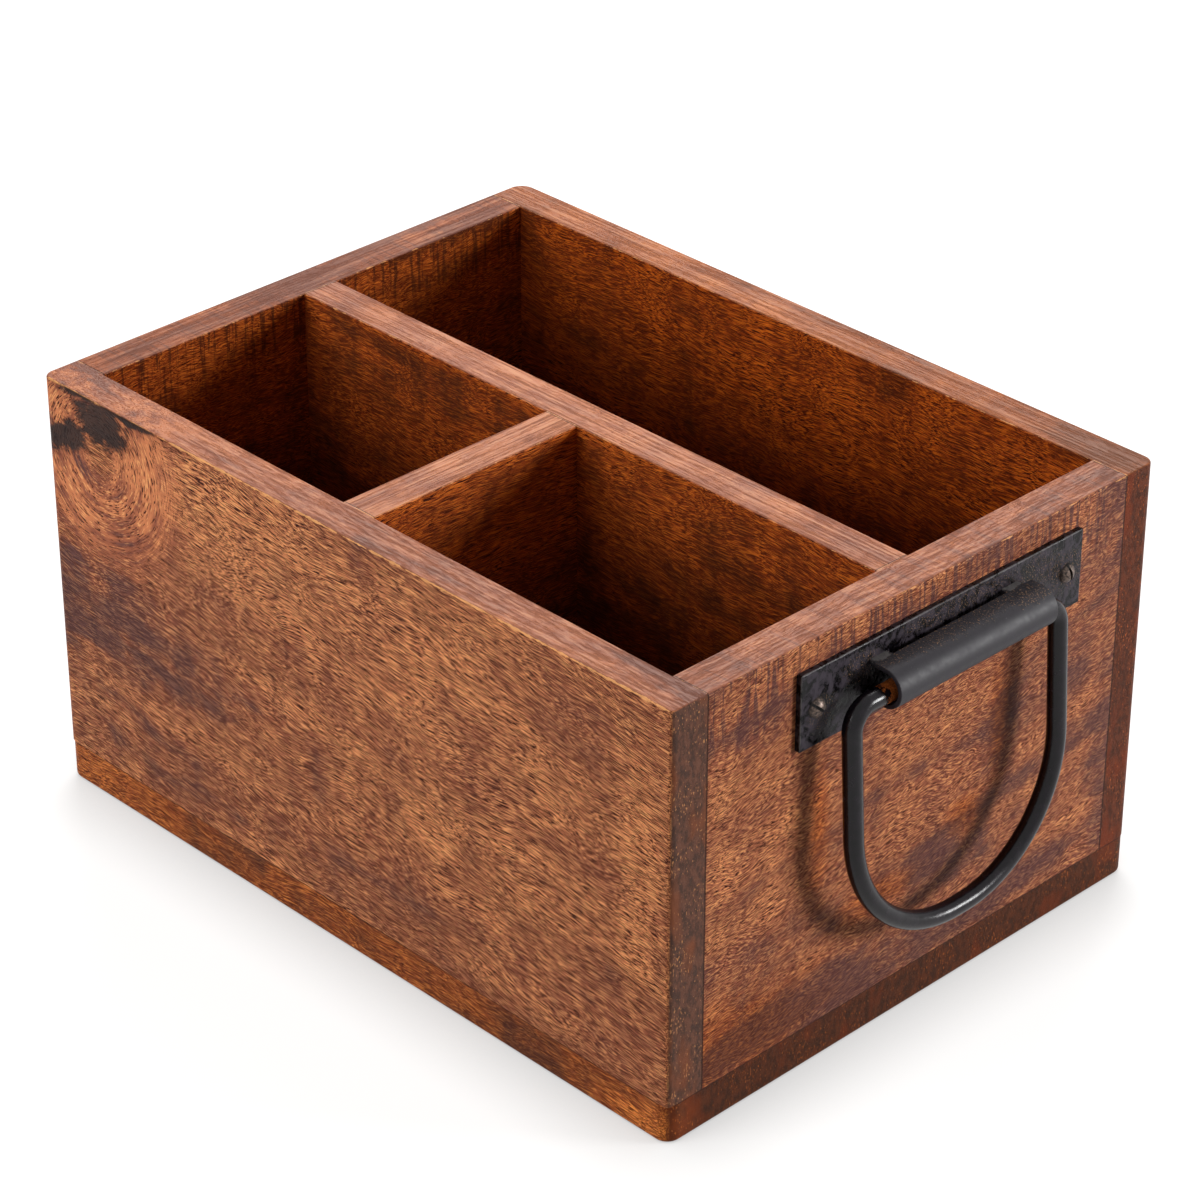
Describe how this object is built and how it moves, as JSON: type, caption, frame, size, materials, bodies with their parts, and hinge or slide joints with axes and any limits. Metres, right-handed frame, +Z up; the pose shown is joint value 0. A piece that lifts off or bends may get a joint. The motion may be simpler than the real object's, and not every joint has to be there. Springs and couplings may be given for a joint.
{
  "type": "storage caddy",
  "caption": "Open wooden box divided into compartments, with an iron drop handle on each end: a D-shaped bail hung in a rolled sleeve on a flat plate. It holds and carries small things.",
  "frame": {"origin": "middle of the underside of the base board, on the surface the box stands on", "axes": "+X along the box towards the end whose handle the picture shows; +Y across it, from the side with the two small compartments to the side with the long one; +Z up"},
  "size_m": [0.3202, 0.212, 0.152],
  "materials": {
    "stained_wood": "satin stained",
    "dowel_wood": "bare",
    "zinc_screws": "zinc plated",
    "black_iron": "satin black, worn",
    "aged_screws": "dark, aged"
  },
  "bodies": {
    "box": {"base_board": "stained_wood", "front_board": "stained_wood", "back_board": "stained_wood", "left_end_board": "stained_wood", "right_end_board": "stained_wood", "long_divider": "stained_wood", "cross_divider": "stained_wood", "front_left_dowels": "dowel_wood", "front_right_dowels": "dowel_wood", "back_left_dowels": "dowel_wood", "back_right_dowels": "dowel_wood", "divider_left_dowels": "dowel_wood", "divider_right_dowels": "dowel_wood", "cross_front_dowels": "dowel_wood", "cross_back_dowels": "dowel_wood", "base_screws_front": "zinc_screws", "base_screws_back": "zinc_screws", "base_screws_left": "zinc_screws", "base_screws_right": "zinc_screws", "base_screws_long_divider": "zinc_screws", "base_screws_cross_divider": "zinc_screws", "right_handle_plate": "black_iron", "right_handle_sleeve": "black_iron", "left_handle_plate": "black_iron", "left_handle_sleeve": "black_iron", "right_plate_screws": "aged_screws", "left_plate_screws": "aged_screws"},
    "right_bail": {"right_bail": "black_iron"},
    "left_bail": {"left_bail": "black_iron"}
  },
  "joints": [
    {"name": "right_bail_hinge", "type": "hinge", "parent": "box", "child": "right_bail", "pos_m": [0.1516, 0, 0.12815], "axis": [0, -1, 0], "range_deg": [-6.9, 188.5]},
    {"name": "left_bail_hinge", "type": "hinge", "parent": "box", "child": "left_bail", "pos_m": [-0.1516, 0, 0.12815], "axis": [0, 1, 0], "range_deg": [-6.9, 188.5]}
  ]
}
